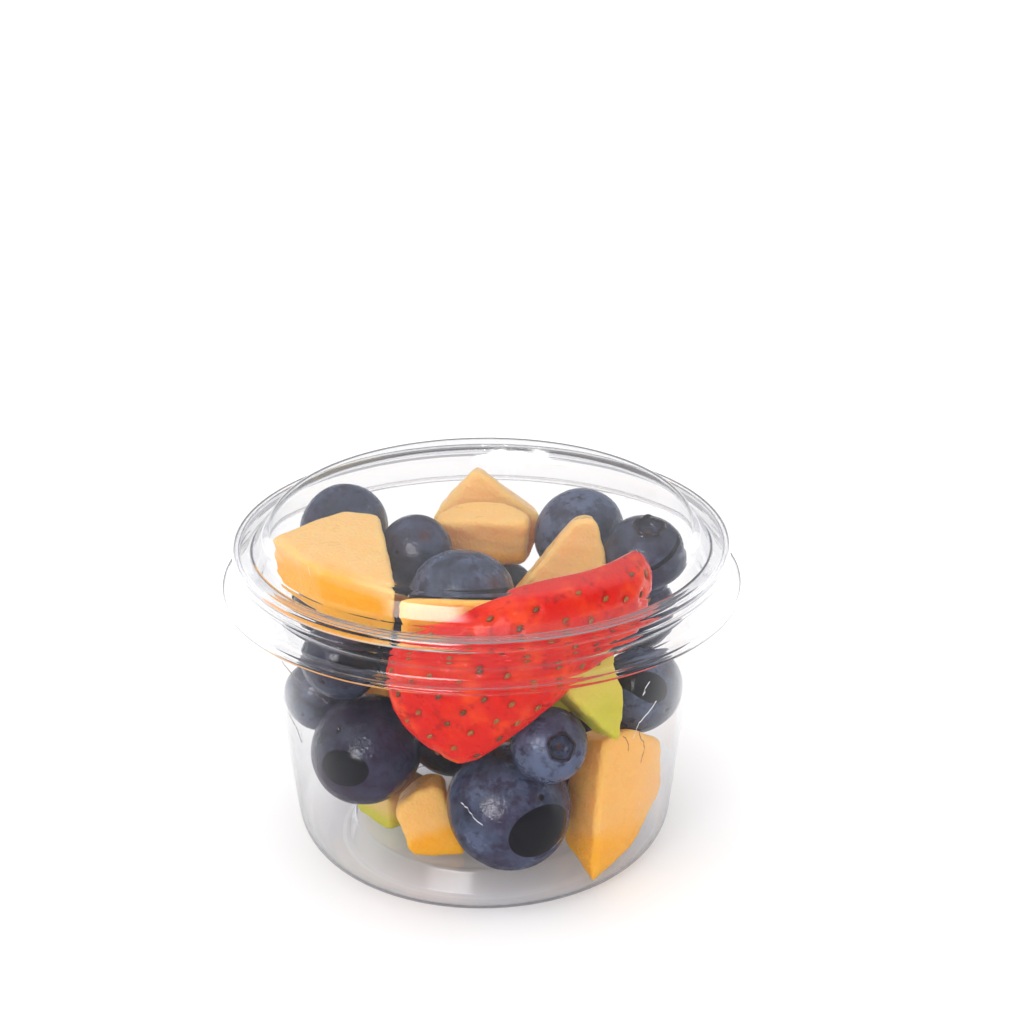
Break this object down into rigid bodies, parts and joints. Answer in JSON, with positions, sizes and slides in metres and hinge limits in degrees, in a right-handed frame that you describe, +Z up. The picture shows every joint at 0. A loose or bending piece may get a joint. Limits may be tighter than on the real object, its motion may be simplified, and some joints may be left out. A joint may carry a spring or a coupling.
{
  "type": "fruit cup",
  "caption": "Clear round deli pot with a push-on lid, filled with blueberries, melon chunks and a strawberry half; stands on a table.",
  "frame": {"origin": "middle of the ring the pot stands on, on the table", "axes": "+Z up, the viewer of the picture looks along +Y with +X to the right"},
  "size_m": [0.1, 0.1, 0.069],
  "materials": {
    "clear_plastic": "clear, glossy, thin drawn sheet",
    "blueberry_skin": "dark blue waxy skin with an uneven pale bloom and a soft gloss",
    "cantaloupe_flesh": "moist cut melon flesh, pale orange inside and deeper orange towards the rind",
    "honeydew_flesh": "moist cut melon flesh, yellow with a greener side towards the rind",
    "strawberry_flesh": "glossy red skin with small sunken golden seeds"
  },
  "bodies": {
    "root": {"blueberry_back": "blueberry_skin", "blueberry_back_left": "blueberry_skin", "blueberry_front_left": "blueberry_skin", "blueberry_front_low": "blueberry_skin", "blueberry_front_middle": "blueberry_skin", "blueberry_front_small": "blueberry_skin", "blueberry_left": "blueberry_skin", "blueberry_low_back": "blueberry_skin", "blueberry_low_middle": "blueberry_skin", "blueberry_low_right": "blueberry_skin", "blueberry_middle": "blueberry_skin", "blueberry_middle_high": "blueberry_skin", "blueberry_middle_left": "blueberry_skin", "blueberry_right": "blueberry_skin", "blueberry_side_left": "blueberry_skin", "blueberry_side_left_high": "blueberry_skin", "blueberry_side_right": "blueberry_skin", "blueberry_top_back": "blueberry_skin", "blueberry_top_front": "blueberry_skin", "blueberry_top_left": "blueberry_skin", "blueberry_top_middle": "blueberry_skin", "blueberry_top_right": "blueberry_skin", "cantaloupe_left": "cantaloupe_flesh", "cantaloupe_low_back": "cantaloupe_flesh", "cantaloupe_low_left": "cantaloupe_flesh", "cantaloupe_low_right": "cantaloupe_flesh", "cantaloupe_middle_front": "cantaloupe_flesh", "cantaloupe_middle_left": "cantaloupe_flesh", "cantaloupe_right": "cantaloupe_flesh", "cantaloupe_top_back": "cantaloupe_flesh", "cantaloupe_top_front": "cantaloupe_flesh", "cantaloupe_top_left": "cantaloupe_flesh", "cantaloupe_top_middle": "cantaloupe_flesh", "cantaloupe_top_right": "cantaloupe_flesh", "honeydew_back": "honeydew_flesh", "honeydew_front": "honeydew_flesh", "honeydew_low_left": "honeydew_flesh", "honeydew_middle_right": "honeydew_flesh", "lid": "clear_plastic", "pot": "clear_plastic", "strawberry_half": "strawberry_flesh"}
  },
  "joints": []
}
